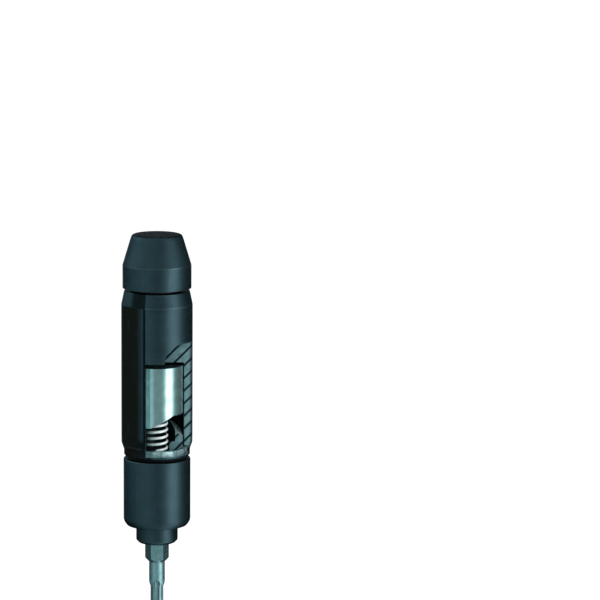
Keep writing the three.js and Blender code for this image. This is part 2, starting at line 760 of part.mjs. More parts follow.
const blackSteel = { color: 0x26363d, roughness: 0.42, metalness: 0.85 };
const polishedSteel = { color: 0xb4c6c8, roughness: 0.14, metalness: 1 };
const springSteel = { color: 0xd4dcdc, roughness: 0.22, metalness: 1 };
const toolSteel = { color: 0x6f8e93, roughness: 0.34, metalness: 0.95 };
const darkRubber = { color: 0x101314, roughness: 0.8, metalness: 0 };

function mesh(name, shape, finish) {
  const piece = new THREE.Mesh(geometryOf(shape), new THREE.MeshStandardMaterial(finish));
  piece.name = name;
  return piece;
}

const driver = new THREE.Group();
driver.add(
  mesh('housing', makeHousing(), blackSteel),
  mesh('striking_cap', makeStrikingCap(), blackSteel),
  mesh('cap_seal_ring', makeCapSeal(), darkRubber),
  mesh('cam_sleeve', makeCamSleeve(), polishedSteel),
  mesh('drive_key_right', makeDriveKey(0), toolSteel),
  mesh('drive_key_left', makeDriveKey(1), toolSteel),
  mesh('upper_spring_seat', makeSpringSeat(), toolSteel),
  mesh('return_spring', makeReturnSpring(), springSteel),
  mesh('lower_spring_washer', makeSpringWasher(), toolSteel),
  mesh('end_bush', makeEndBush(), polishedSteel),
  mesh('bush_lock_screw', makeLockScrew(), blackSteel),
  mesh('output_spindle', makeOutputSpindle(), toolSteel),
  mesh('bit_holder', makeBitHolder(), blackSteel),
  mesh('holder_pin', makeHolderPin(), toolSteel),
  mesh('bit_clip', makeBitClip(), springSteel),
  mesh('output_sleeve', makeOutputSleeve(), blackSteel),
  mesh('sleeve_snap_ring', makeSnapRing(), springSteel),
  mesh('sleeve_seal_ring', sealRing(sleeveSealRadius, sealWireRadius, sleeveSealHeight), darkRubber),
  mesh('foot_seal_ring', sealRing(footSealRadius, footSealWireRadius, footSealHeight), darkRubber),
  mesh('bit', makeBit(), toolSteel),
);

export default driver;
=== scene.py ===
"""A hand impact driver, cut open to show how it works. Metres, +Z towards the striking cap.

The pieces follow each other as the tool is put together: first what a hand holds, then what turns
inside it, then what carries the bit. An azimuth counts from the front (-Y) towards +X, in degrees.
"""
from functools import partialmethod
import bmesh
import bpy
import numpy as np
from mathutils import Matrix, Vector


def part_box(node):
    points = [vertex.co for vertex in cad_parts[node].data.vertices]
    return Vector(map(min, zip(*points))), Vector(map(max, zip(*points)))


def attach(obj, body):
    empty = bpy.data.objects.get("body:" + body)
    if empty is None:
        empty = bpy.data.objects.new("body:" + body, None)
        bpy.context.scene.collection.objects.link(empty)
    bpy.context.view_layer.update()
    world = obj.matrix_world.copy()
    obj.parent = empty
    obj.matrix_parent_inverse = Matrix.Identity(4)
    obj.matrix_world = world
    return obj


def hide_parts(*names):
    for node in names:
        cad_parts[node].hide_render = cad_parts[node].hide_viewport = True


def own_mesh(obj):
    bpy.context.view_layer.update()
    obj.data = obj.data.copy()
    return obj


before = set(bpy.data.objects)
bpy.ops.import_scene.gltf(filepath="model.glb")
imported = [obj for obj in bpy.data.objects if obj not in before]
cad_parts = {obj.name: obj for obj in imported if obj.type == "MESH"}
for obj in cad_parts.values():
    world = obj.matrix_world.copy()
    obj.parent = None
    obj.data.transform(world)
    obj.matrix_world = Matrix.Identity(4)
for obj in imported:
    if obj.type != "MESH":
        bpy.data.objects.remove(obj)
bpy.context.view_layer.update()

# Camera: it stands at the front, a little above the tool, with a long lens. It first looks along the
# tool's own plane and then turns aside about its own upright, so that the tool stays upright at the left.
def in_scene(name, data):
    """A new object with this data, linked to the scene."""
    thing = bpy.data.objects.new(name, data)
    bpy.context.scene.collection.objects.link(thing)
    return thing


camera_distance = 1.300
camera_height = 0.3218
camera_tilt = np.radians(8.89)
camera_turn = np.radians(2.376)
camera_focal_share = 5.745
sensor_width = 36.0

camera = in_scene("camera", bpy.data.cameras.new("camera"))
bpy.context.scene.camera = camera
camera.data.sensor_width = sensor_width
camera.data.lens = camera_focal_share * sensor_width
camera.data.clip_end = 100.0
level = Matrix.Rotation(np.pi / 2 - camera_tilt, 4, "X")
aside = Matrix.Rotation(-camera_turn, 4, "Y")
camera.matrix_world = Matrix.Translation((0, -camera_distance, camera_height)) @ level @ aside


# Striking cap: it takes the blows. Turned from steel bar, hardened and blackened, with a short band at its
# foot and a long cone, and driven onto the housing's spigot.
def softened(corners, reach, steps=5):
    """Rounds the corners of a profile, or of one profile for each azimuth at once.

    corners is (..., n, 2). Each corner B with a reach becomes the curve (1-t)^2 A + 2t(1-t) B + t^2 C,
    where A and C lie at reach from B on its two sides. A point just outside each keeps the sides flat.
    """
    corners = np.asarray(corners, float)
    t = np.linspace(0, 1, steps)[:, None]
    rows = []
    for index, span in enumerate(reach):
        corner = corners[..., index, :]
        if span == 0:
            rows.append(corner[..., None, :])
            continue
        sides = []
        for neighbour in (index - 1, (index + 1) % len(reach)):
            side = corners[..., neighbour, :] - corner
            length = np.linalg.norm(side, axis=-1, keepdims=True)
            sides.append((side / length * np.minimum(span, 0.4 * length))[..., None, :])
        before, after = sides
        curve = corner[..., None, :] + (1 - t) ** 2 * before + t ** 2 * after
        guards = [corner[..., None, :] + 1.2 * side for side in sides]
        rows += [guards[0], curve, guards[1]]
    return np.concatenate(rows, -2)


def azimuths(count=360, edges=()):
    """Even azimuths round the axis in radians, and two close ones at each edge, given in degrees.

    None of them lies exactly in the front or side plane, so that a cut along these planes stays clean.
    """
    even = np.linspace(-180, 180, count, endpoint=False) + 180 / count
    close = np.add.outer(np.asarray(edges, float), [-0.05, 0.05]).ravel()
    return np.radians(np.unique(np.round(np.concatenate([even, close]), 5)))


def round_axis(profile, turn):
    """A grid of points: the (radius, height) profile at each azimuth, x = r sin(a), y = -r cos(a)."""
    profile = np.asarray(profile, float)
    if profile.ndim == 2:
        profile = np.repeat(profile[None], len(turn), 0)
    radius, height = profile[..., 0], profile[..., 1]
    angle = turn[:, None]
    return np.stack([radius * np.sin(angle), -radius * np.cos(angle), height], -1).swapaxes(0, 1)


def skin(name, grid, capped=True):
    """A closed mesh on a grid of points, whose rows go up the outside and columns anticlockwise.

    The columns wrap. A capped grid ends in a fan at each end, about the middle of its last row.
    Otherwise the rows wrap too.
    """
    rows, columns = grid.shape[:2]
    index = np.arange(rows * columns).reshape(rows, columns)
    next_column = np.roll(index, -1, 1)
    quads = np.stack([index, next_column, np.roll(next_column, -1, 0), np.roll(index, -1, 0)], -1)
    faces = (quads[:-1] if capped else quads).reshape(-1, 4).tolist()
    points = grid.reshape(-1, 3)
    if capped:
        points = np.concatenate([points, np.round([grid[0].mean(0), grid[-1].mean(0)], 9)])
        foot, head = rows * columns, rows * columns + 1
        for pole, here, there in ((foot, next_column[0], index[0]), (head, index[-1], next_column[-1])):
            faces += np.stack([np.full(columns, pole), here, there], -1).tolist()
    mesh = bpy.data.meshes.new(name)
    mesh.from_pydata(points.tolist(), [], faces)
    mesh.update()
    return in_scene(name, mesh)


def shaded(piece, crease=32):
    """Smooth shading, with an edge kept sharp where its two faces turn by more than crease degrees."""
    piece.data.polygons.foreach_set("use_smooth", np.ones(len(piece.data.polygons), bool))
    piece.data.set_sharp_from_angle(angle=np.radians(crease))


def place_piece(piece, body, slot, *nodes, crease=32):
    """The piece is shaded, rides on a body and stands for the nodes, which are hidden. The slot is not used.
    """
    shaded(piece, crease)
    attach(piece, body)
    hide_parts(*nodes)


class Wire:
    """A shader socket. Arithmetic on wires adds Math nodes, and new() adds any other node."""

    def __init__(self, tree, socket):
        self.tree = tree
        self.socket = socket

    def new(self, kind, settings=(), inputs=(), output=0):
        """Adds a node: first its settings, then the values or wires of its sockets."""
        node = self.tree.nodes.new("ShaderNode" + kind)
        for name, value in dict(settings).items():
            setattr(node, name, value)
        for key, value in dict(inputs).items():
            if isinstance(value, Wire):
                self.tree.links.new(value.socket, node.inputs[key])
            else:
                node.inputs[key].default_value = value
        return Wire(self.tree, node.outputs[output])

    def maths(self, operation, *values):
        return self.new("Math", {"operation": operation}, dict(enumerate((self, *values))))

    def __rsub__(self, other):
        return other + self * -1

    __add__ = __radd__ = partialmethod(maths, "ADD")
    __sub__ = partialmethod(maths, "SUBTRACT")
    __mul__ = __rmul__ = partialmethod(maths, "MULTIPLY")
    __truediv__ = partialmethod(maths, "DIVIDE")
    __pow__ = partialmethod(maths, "POWER")
    __abs__ = partialmethod(maths, "ABSOLUTE")
    larger = partialmethod(maths, "MAXIMUM")
    smaller = partialmethod(maths, "MINIMUM")
    sign = partialmethod(maths, "SIGN")

    def ramp(self, start, end, to_start=0.0, to_end=1.0):
        """A smooth step from to_start at start to to_end at end."""
        values = {"Value": self, "From Min": start, "From Max": end, "To Min": to_start, "To Max": to_end}
        return self.new("MapRange", {"interpolation_type": "SMOOTHSTEP"}, values)

    def parts(self):
        """The x, y and z of a vector."""
        node = self.new("SeparateXYZ", (), {0: self}).socket.node
        return [Wire(self.tree, socket) for socket in node.outputs]

    def stretched(self, x, y, z):
        """The vector with its x, y and z multiplied."""
        return self.new("VectorMath", {"operation": "MULTIPLY"}, {0: self, 1: (x, y, z)})

    def noise(self, scale, detail=3.0):
        """Noise from 0 to 1 at this place. A scale of 1000 has spots about a millimetre across."""
        fog = self.new("TexNoise", (), {"Vector": self, "Scale": scale, "Detail": detail})
        return fog.ramp(0.25, 0.75)

    def mix(self, low, high):
        """A colour between two, by this wire."""
        colours = {6: low, 7: high}
        return self.new("Mix", {"data_type": "RGBA"}, {"Factor": self, **colours}, 2)


def tone(code):
    """A colour as seen on a screen, in hexadecimal, as linear red, green, blue and alpha."""
    seen = np.array([int(code[i:i + 2], 16) for i in (0, 2, 4)]) / 255
    linear = np.where(seen <= 0.04045, seen / 12.92, ((seen + 0.055) / 1.055) ** 2.4)
    return (*linear, 1.0)


def new_finish(name, **constants):
    """A Principled material with constant sockets. Gives it with its Object coordinates."""
    material = bpy.data.materials.new(name)
    material.use_nodes = True
    shader = material.node_tree.nodes["Principled BSDF"]
    for socket, value in constants.items():
        shader.inputs[socket.replace("_", " ").title().replace("Ior", "IOR")].default_value = value
    coordinates = material.node_tree.nodes.new("ShaderNodeTexCoord")
    return material, Wire(material.node_tree, coordinates.outputs["Object"])


def feed(material, **wires):
    """Links wires to the shader's sockets of the same names, and gives the material back."""
    shader = material.node_tree.nodes["Principled BSDF"]
    for socket, wire in wires.items():
        wire.tree.links.new(wire.socket, shader.inputs[socket.replace("_", " ").title()])
    return material


def dressed(piece, *finishes):
    """Gives the piece these finishes and no other, with the first on all its faces."""
    piece.data.materials.clear()
    for finish in finishes:
        piece.data.materials.append(finish)


def bumped(height, distance):
    """A surface normal raised by a height from 0 to 1, at most the distance in metres."""
    return height.new("Bump", (), {"Height": height, "Distance": distance})


worn_steel = tone("6f878b")


def blackened(name, corners=(), flats=None, struck=None):
    """Blackened turned steel: a satin blue-black oxide, fine turning rings, and worn corners.

    corners lists the (radius, height) of the piece's outer edges. The wear is 1 on such a circle and
    falls to 0 at a third of a millimetre, broken up by noise. The rings are noise stretched round the
    axis. flats gives the azimuth, distance, half width, foot and head of two milled flats. Each has a
    matte black panel that fades out towards its near edge, a dark line there as painted shade in the
    crease, a haze of black above and a black foot of painted shade that reaches a little past the near
    edge. struck gives the foot of a cone that handling has dulled and the height of its face, which is
    painted darker as shade, in a dented pattern.
    """
    material, place = new_finish(name, metallic=0.9, ior=1.45, specular_tint=(0.22, 0.26, 0.28, 1))
    x, y, z = place.parts()
    radius = (x * x + y * y) ** 0.5
    mottle = place.noise(160)
    speck = place.noise(3000, 2)
    rings = place.stretched(0.02, 0.02, 1).noise(5200, 1)
    scuffs = place.stretched(1, 1, 0.1).noise(1100, 2).ramp(0.80, 1.0)
    wear = scuffs * 0.06
    for corner_radius, corner_height in corners:
        away = ((radius - corner_radius) ** 2 + (z - corner_height) ** 2) ** 0.5
        wear = wear.larger(away.ramp(0.00008, 0.00034, 1, 0) * (0.05 + 0.24 * mottle))
    wear = wear * (0.4 + 0.6 * speck)
    shade = mottle * 0.5 + rings * 0.35 + speck * 0.15
    oxide = shade.mix(tone("25383e"), tone("2e434a"))
    roughness = 0.33 + 0.06 * rings + 0.05 * speck - 0.08 * wear
    if flats:
        azimuth, distance, half_width, foot, head = flats
        angle = np.radians(azimuth)
        away = x * np.sin(angle) - y * np.cos(angle)
        along = (x * np.cos(angle) + y * np.sin(angle)) * away.sign()
        on_flat = abs(away).ramp(distance - 0.00005, distance - 0.00002)
        facing = abs(away).ramp(0.7 * distance, 0.8 * distance)
        facing = facing * along.ramp(-half_width - 0.0002, -half_width)
        below = z.ramp(head - 0.0005, head, 1, 0)
        # Painted shade: a dark line in the crease at the flat's near edge.
        line = on_flat * below * along.ramp(half_width - 0.0015, half_width - 0.0009)
        panel = facing * below * along.ramp(half_width - 0.0052, half_width - 0.0014, 1, 0)
        edge_share = half_width / corners[-1][0]
        within = (along / radius).ramp(0.95 * edge_share, edge_share, 1, 0)
        haze = facing * within * (1 - below) * along.ramp(-0.4 * half_width, 0.0, 0.0, 0.9)
        # Painted shade: near black at the foot, reaching a little past the flat's near edge.
        painted_foot_shade = facing * z.ramp(foot + 0.0018, foot + 0.0042, 1, 0)
        painted_foot_shade = painted_foot_shade * along.ramp(half_width + 0.0008, half_width + 0.0020, 0.9, 0.0)
        oxide = painted_foot_shade.mix(haze.mix(oxide, tone("0b1214")), tone("0d1011"))
        oxide = line.mix(oxide, tone("0b1417"))
        oxide = panel.mix(oxide, tone("191d1a"))
        roughness = roughness + 0.16 * panel
    if struck:
        cone_foot, face = struck
        # Painted shade: the struck face is darker, in a dented pattern.
        face_shade = z.ramp(face - 0.0007, face - 0.0002)
        dents = place.noise(700, 2).ramp(0.1, 1.0)
        oxide = face_shade.mix(oxide, dents.mix(tone("0f1618"), tone("1c2729")))
        roughness = roughness + 0.09 * z.ramp(cone_foot, cone_foot + 0.0006) + 0.12 * dents * face_shade
    return feed(
        material, base_color=wear.mix(oxide, worn_steel), roughness=roughness,
        normal=bumped(rings * 0.6 + speck * 0.4, 0.000006),
    )


low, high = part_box("striking_cap")
cap_radius = high.x
cap_foot = low.z
cap_head = high.z
cap_band_height = 0.0089
cap_socket_radius = 0.0093
cap_socket_roof = 0.1333
cap_edge = 0.00035
crown_radius = 0.0100
face_radius = 0.0087
crown_height = 0.0014
cone_foot = cap_foot + cap_band_height
cap_edges = [(cap_radius, cap_foot), (cap_radius, cone_foot), (face_radius, cap_head)]

# A profile stops this far from the axis, and the fan on its end row closes the piece.
axis_gap = 0.0004
cap_corners = [
    (axis_gap, cap_socket_roof), (cap_socket_radius, cap_socket_roof), (cap_socket_radius, cap_foot),
    (cap_radius, cap_foot), (cap_radius, cone_foot), (crown_radius, cap_head - crown_height),
    (crown_radius - 0.3 * crown_height, cap_head - 0.3 * crown_height),
    (face_radius, cap_head), (axis_gap, cap_head),
]
cap_reach = [0, 0, cap_edge, cap_edge, cap_edge, 2 * cap_edge, cap_edge, 1.5 * cap_edge, 0]
turn = azimuths()
striking_cap = skin("struck_cap", round_axis(softened(cap_corners, cap_reach), turn))
dressed(striking_cap, blackened("blackened_cap", cap_edges, struck=(cone_foot, cap_head)))
place_piece(striking_cap, "housing", "black_steel", "striking_cap")


# Rubber rings: one seals the gap under the cap, one the sleeve's top and one the sleeve's foot. Each is
# a moulded ring of round section, slipped into its groove.
def rubber():
    """Matte black rubber with a dusty bloom."""
    material, place = new_finish("seal_rubber", roughness=0.7, ior=1.5)
    bloom = place.noise(900, 4)
    return feed(
        material, base_color=bloom.mix(tone("0b0c0d"), tone("1b1d1e")), normal=bumped(bloom, 0.00001))


seal_finish = rubber()
section_turn = np.linspace(-np.pi, np.pi, 24, endpoint=False)
seals = {"cap_seal_ring": "housing", "sleeve_seal_ring": "housing", "foot_seal_ring": "sleeve"}
for node, body in seals.items():
    low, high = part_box(node)
    # The CAD's ring has a six-sided section, which is lower than it is wide by the cosine of 30 degrees.
    wire_radius = (high.z - low.z) / 2 / np.cos(np.pi / 6)
    centre = high.x - wire_radius
    ring = np.stack([centre + wire_radius * np.sin(section_turn), -wire_radius * np.cos(section_turn)], -1)
    ring[:, 1] += (low.z + high.z) / 2
    seal = skin(node + "_moulded", round_axis(ring, azimuths(120)), capped=False)
    dressed(seal, seal_finish)
    place_piece(seal, body, "seal_rubber", node)


# Housing: the grip. Turned from steel bar and blackened, milled with two flats for a vice, bored from below,
# and cut away from the front to its middle plane, where the section is ground bright and lined.
def smaller(a, b, blend):
    """The smaller of two lengths, rounded over blend: half of a + b less the root of (a-b)^2 + blend^2."""
    return (a + b - np.sqrt((a - b) ** 2 + blend ** 2)) / 2


def all_faces(piece, finish_index):
    """Gives every face the finish with that number."""
    faces = piece.data.polygons
    faces.foreach_set("material_index", np.full(len(faces), finish_index))
    return piece


def prism(name, outline, front, back, finish_index=0):
    """A block cut to an outline in X and Z, from y = front to y = back."""
    outline = np.asarray(outline, float)
    points = [(x, y, z) for y in (front, back) for x, z in outline]
    count = len(outline)
    ends = [list(range(count)), list(range(2 * count - 1, count - 1, -1))]
    sides = [[i, (i + 1) % count, (i + 1) % count + count, i + count] for i in range(count)]
    mesh = bpy.data.meshes.new(name)
    mesh.from_pydata(points, [], ends + sides)
    tidy = bmesh.new()
    tidy.from_mesh(mesh)
    bmesh.ops.recalc_face_normals(tidy, faces=tidy.faces)
    tidy.to_mesh(mesh)
    tidy.free()
    return all_faces(in_scene(name, mesh), finish_index)


def combine(piece, operation, *tools):
    """Cuts a piece with one tool after the other, or keeps what it shares with them, and deletes them."""
    for tool in tools:
        modifier = piece.modifiers.new(tool.name, "BOOLEAN")
        modifier.operation = operation
        modifier.solver = "EXACT"
        modifier.object = tool
    graph = bpy.context.evaluated_depsgraph_get()
    mesh = bpy.data.meshes.new_from_object(piece.evaluated_get(graph))
    piece.modifiers.clear()
    piece.data = mesh
    for tool in tools:
        bpy.data.objects.remove(tool)
    return piece


def joined(pieces):
    """Puts separate pieces into one."""
    with bpy.context.temp_override(active_object=pieces[0], selected_editable_objects=pieces):
        bpy.ops.object.join()
    return pieces[0]


low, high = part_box("housing")
grip_radius = high.x
grip_foot = low.z
spigot_head = high.z
rim_radius = 0.01265
rim_height = 0.0023
rim_taper = 0.0027
grip_edge = 0.00035
shoulder_radius = 0.01255
shoulder_height = 0.0051
grip_length = 0.0635
grip_head = grip_foot + grip_length
rim_head = grip_foot + rim_height
taper_head = rim_head + rim_taper
shoulder_foot = grip_head - shoulder_height
spigot_radius = 0.0090
flat_distance = 0.01205
flat_azimuth = -47.0
flat_start = grip_foot + 0.0042
flat_runout = 0.0006
bore_radius = 0.01025
bore_roof = grip_foot + 0.0357
counterbore_radius = 0.0118
counterbore_roof = grip_foot + 0.0034
overrun = 0.002
cut_reach = grip_radius + overrun
crease = 0.00007
section_finish, line_finish, bore_finish = 1, 2, 3

window_sill = grip_foot + 0.00095
lintel = grip_foot + 0.0371
arch_radius = 0.0074
arch_centre = 0.0103
flat_half_width = np.sqrt(grip_radius ** 2 - flat_distance ** 2)
flat_turn = np.radians(flat_azimuth)
window_left = flat_distance * np.sin(flat_turn) + flat_half_width * np.cos(flat_turn)
hatch_slope = np.tan(np.radians(45.0))
hatch_spacing = 0.0049
hatch_width = 0.0008
hatch_depth = 0.00025
hatch_inset = 0.00003
hatch_start = window_sill - grip_radius + 0.0025


def window_cutter(inset=0.0):
    """The notch, drawn in by inset: from the middle plane to the front, with an arch at its upper right."""
    arch = np.linspace(np.pi / 2, np.pi, 40)
    reach = arch_radius - inset
    outline = [
        (window_left, window_sill + inset), (cut_reach, window_sill + inset), (cut_reach, lintel + reach),
        *zip(arch_centre + reach * np.cos(arch), lintel + reach * np.sin(arch)),
        (window_left, lintel - inset),
    ]
    return prism("notch", outline, -cut_reach, 0.0, section_finish)


def hatch_cutter():
    """The section's slanting lines, as shallow grooves that start on the axis and stay in the window."""
    half = hatch_width / 2 * np.hypot(1, hatch_slope)
    rise = cut_reach * hatch_slope
    lines = joined([
        prism("line", [
            (0.0, z - half), (cut_reach, z + rise - half), (cut_reach, z + rise + half), (0.0, z + half),
        ], -hatch_depth, 2 * hatch_depth)
        for z in np.arange(hatch_start, lintel + arch_radius, hatch_spacing)
    ])
    limit = window_cutter(hatch_inset)
    limit.data.transform(Matrix.Translation((0, hatch_depth, 0)))
    return all_faces(combine(lines, "INTERSECT", limit), line_finish)


flat_edge = np.degrees(np.arccos(flat_distance / grip_radius))
flat_edges = [flat_azimuth + middle + side for middle in (0, 180) for side in (-flat_edge, flat_edge)]
turn = azimuths(480, [(edge + 180) % 360 - 180 for edge in flat_edges])
rim_rows_head = grip_foot + 0.0052
shoulder_rows_foot = grip_head - 0.0056
height = np.unique(np.concatenate([
    np.linspace(grip_foot, rim_rows_head, 48), np.linspace(rim_rows_head, shoulder_rows_foot, 16),
    np.linspace(shoulder_rows_foot, grip_head, 24),
]))
wall = softened([
    (rim_radius - grip_edge, grip_foot), (rim_radius, grip_foot + grip_edge), (rim_radius, rim_head),
    (grip_radius, taper_head), (grip_radius, shoulder_foot), (shoulder_radius, grip_head),
], [0, 0.0002, 0.0006, 0.0006, 0.0006, 0])
wall_radius = np.interp(height, wall[:, 1], wall[:, 0])[:, None]
leaning = flat_distance * shoulder_radius / grip_radius
reach = np.interp(
    height,
    [flat_start - 1.4 * flat_runout, flat_start - flat_runout, flat_start, shoulder_foot, grip_head],
    [grip_radius + flat_runout, flat_distance + flat_runout, flat_distance, flat_distance, leaning],
)[:, None]
grid_radius = wall_radius
for middle in (flat_azimuth, flat_azimuth + 180):
    facing = np.cos(turn - np.radians(middle))
    grid_radius = smaller(grid_radius, np.where(facing > 0.5, reach / np.maximum(facing, 0.5), 1.0), crease)
outer = np.stack([grid_radius * np.sin(turn), -grid_radius * np.cos(turn), height[:, None] + 0 * turn], -1)
spigot = round_axis(softened([
    (spigot_radius, grip_head), (spigot_radius, spigot_head), (axis_gap, spigot_head),
], [0, 0.0006, 0]), turn)
inner = outer[:1] * [0.7, 0.7, 1.0]
housing = skin("grip", np.concatenate([inner, outer, spigot]))
bores = all_faces(skin("bores", round_axis([
    (axis_gap, grip_foot - overrun), (counterbore_radius, grip_foot - overrun),
    (counterbore_radius, counterbore_roof), (bore_radius, counterbore_roof), (bore_radius, bore_roof),
    (axis_gap, bore_roof),
], azimuths(290))), bore_finish)


def milled_section():
    """The ground section: grey-green bright steel, tarnished in patches, with faint feed marks and painted
    shade that darkens it towards the arch's edge.

    Its outline is wiped with the lines' enamel; along the bore this dark line is also painted shade that
    widens the gap beside the cam sleeve. The arch's edge lies at arch_radius from the arch's centre,
    measured only to the left of it and above it, and the outer edge on the grip's wall.
    """
    material, place = new_finish("ground_section", metallic=0.25, ior=1.5)
    x, y, z = place.parts()
    feed_marks = place.stretched(0.05, 1, 1).noise(9000, 1)
    tarnish = place.noise(420, 4)
    left = (x - arch_centre).smaller(0.0)
    above = (z - lintel).larger(0.0)
    to_arch = arch_radius - (left * left + above * above) ** 0.5
    wall = z.new("MapRange", (), {
        "Value": z, "From Min": rim_head, "From Max": taper_head,
        "To Min": rim_radius, "To Max": grip_radius,
    })
    to_wall = wall - x
    to_bore = abs(x - bore_radius) + z.ramp(bore_roof - 0.0004, bore_roof, 0.0, 0.001)
    arched = z.ramp(lintel - 0.0002, lintel)
    outline = to_arch.ramp(0.0002, 0.0006, 1, 0) * arched
    outline = outline.larger(to_wall.ramp(0.0005, 0.0014, 0.9, 0.0))
    # Painted shade: the dark line along the bore widens the shade of the gap beside the cam sleeve.
    outline = outline.larger(to_bore.ramp(0.0001, 0.0003, 1, 0))
    # Painted shade: darker towards the arch's edge, standing for the shading of a curved run-out.
    painted_arch_shade = to_arch.ramp(0.0004, 0.0040, 0.55, 0.0) * arched
    shade = (tarnish * 0.75 + feed_marks * 0.25) * (1 - painted_arch_shade)
    cheek = x.ramp(window_left + 0.0002, window_left + 0.0005, 1, 0)
    ground = cheek.mix(shade.mix(tone("4c747d"), tone("7aa0a4")), shade.mix(tone("6f979b"), tone("93b8ba")))
    return feed(
        material, base_color=outline.mix(ground, tone("08191e")),
        roughness=0.46 + 0.12 * feed_marks, normal=bumped(feed_marks, 0.000006),
    )


def line_paint():
    """Dark blue-green enamel wiped into the grooves."""
    material, place = new_finish("line_enamel", specular_ior_level=0.12)
    streak = place.noise(2500)
    return feed(
        material, base_color=streak.mix(tone("03161a"), tone("082329")), roughness=0.5 + 0.2 * streak)


def bored_steel():
    """The bores: oiled dark steel with fine turning rings."""
    material, place = new_finish("bored_steel", metallic=0.9, ior=1.45)
    rings = place.stretched(0.02, 0.02, 1).noise(4000, 2)
    oil = place.noise(500)
    return feed(
        material, base_color=(oil * 0.6 + rings * 0.4).mix(tone("11191c"), tone("26343a")),
        roughness=0.3 + 0.25 * rings, normal=bumped(rings, 0.00001),
    )


grip_edges = [(rim_radius, grip_foot), (shoulder_radius, grip_head), (grip_radius, shoulder_foot)]
grip_flats = (flat_azimuth, flat_distance, flat_half_width, flat_start, shoulder_foot)
grip_finish = blackened("blackened_grip", grip_edges, grip_flats)
dressed(housing, grip_finish, milled_section(), line_paint(), bored_steel())
combine(housing, "DIFFERENCE", bores, hatch_cutter(), window_cutter())
place_piece(housing, "housing", "black_steel", "housing")


# Lock screw: a blackened steel grub screw at the back, in a hole through the housing's rim into the end
# bush. Turned from bar, with a hexagonal socket for its key.
def radial_rod(name, turn_to, radius, inner, outer, height, columns=32, finish_index=0):
    """A rod square to the axis, from one distance to another, at an azimuth in degrees."""
    ring = azimuths(columns)
    angle = np.radians(turn_to)
    out = np.array([np.sin(angle), -np.cos(angle), 0.0])
    across = np.array([np.cos(angle), np.sin(angle), 0.0])
    section = radius * (np.cos(ring)[:, None] * across + np.sin(ring)[:, None] * [0.0, 0.0, 1.0])
    grid = np.stack([section + out * distance + [0.0, 0.0, height] for distance in (inner, outer)])
    return all_faces(skin(name, grid), finish_index)


low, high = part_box("bush_lock_screw")
lock_azimuth = 180.0
lock_radius = (high.x - low.x) / 2
lock_tip = low.y
lock_head = high.y
lock_height = (low.z + high.z) / 2
lock_gap = 0.0002
cut_end = lock_head + 0.001
key_size = 0.00052
key_depth = 0.0008


def lock_hole(finish_index):
    """The cutter of the screw's hole."""
    return radial_rod("hole", lock_azimuth, lock_radius + lock_gap, lock_tip - lock_gap, cut_end,
                      lock_height, finish_index=finish_index)


combine(housing, "DIFFERENCE", lock_hole(bore_finish))
shaded(housing)
lock_screw = radial_rod("grub_screw", lock_azimuth, lock_radius, lock_tip, lock_head, lock_height)
combine(lock_screw, "DIFFERENCE", radial_rod(
    "key", lock_azimuth, key_size, lock_head - key_depth, cut_end, lock_height, columns=6))
dressed(lock_screw, blackened("blackened_screw"))
place_piece(lock_screw, "housing", "black_steel", "bush_lock_screw")


# Cam sleeve: the polished cylinder that a blow drives down. Ground steel, bored for the spring, with two
# helical teeth at its foot and two slots for the keys that keep it from turning.
tooth_lead = 0.0314
dish_slope = 0.35
tooth_round = 0.00012


def tooth_fall(turn, centre, land, rise):
    """How far a toothed face has left its tip at each azimuth, level over the land and then on a helix.

    offset is the azimuth from the nearest of two tips. The fall is (|offset| - land/2) lead / 2 pi, held
    between 0 and rise, with both corners rounded.
    """
    offset = (turn - np.radians(centre) + np.pi / 2) % np.pi - np.pi / 2
    along = (np.abs(offset) - np.radians(land) / 2) * tooth_lead / (2 * np.pi)
    return smaller(-smaller(-along, 0, tooth_round), rise, tooth_round)


def by_azimuth(turn, *corners):
    """A profile for each azimuth, from corners whose radius or height may be one value or one each."""
    return np.stack([np.stack([radius + 0 * turn, height + 0 * turn], -1) for radius, height in corners], 1)


def polished(name, light, dark, dark_from, dark_to, roughness=0.13, oil_and_glint_scale=260.0):
    """Ground and polished steel, with very fine grinding lines round the axis and a blotchy layer of oil,
    whose blotches on the end bush are painted glints.

    Past the height dark_to its colour turns near black and rougher, and the change starts at dark_from.
    """
    material, place = new_finish(name, metallic=0.85)
    x, y, z = place.parts()
    lines = place.stretched(0.01, 0.01, 1).noise(9000, 2)
    oil_and_glints = place.noise(oil_and_glint_scale, 2.0)
    darkened = z.ramp(dark_from, dark_to)
    return feed(
        material, base_color=darkened.mix(oil_and_glints.mix(tone(dark), tone(light)), tone("0b1113")),
        roughness=roughness + 0.05 * lines + 0.02 * oil_and_glints + 0.25 * darkened, normal=bumped(lines, 0.0000008),
    )


low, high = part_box("cam_sleeve")
cam_radius = high.x
cam_tip = low.z
cam_head = high.z
cam_tooth_inner = cam_radius - 0.00315
cam_pocket_roof = cam_tip + 0.0073
spring_hollow = 0.00485
spring_roof = cam_tip + 0.0156
cam_edge = 0.0004
tip_azimuth = -21.5
tip_land = 13.0
tip_rise = 0.0047
key_azimuth = 112.0
key_slot_width = 0.0036
key_slot_floor = cam_radius - 0.00165
key_slot_foot = 0.0783
key_slot_roof = 0.0889
key_slot_reach = 0.01155


def key_slots(inner, foot, finish_index):
    """The cutters of the two keys' slots, from an inner distance and a foot to the slots' own ends."""
    half = key_slot_width / 2
    outline = [(-half, foot), (half, foot), (half, key_slot_roof), (-half, key_slot_roof)]
    blocks = []
    for turn_to in (key_azimuth, key_azimuth + 180):
        block = prism("slot", outline, -key_slot_reach, -inner, finish_index)
        block.data.transform(Matrix.Rotation(np.radians(turn_to), 4, "Z"))
        blocks.append(block)
    return blocks


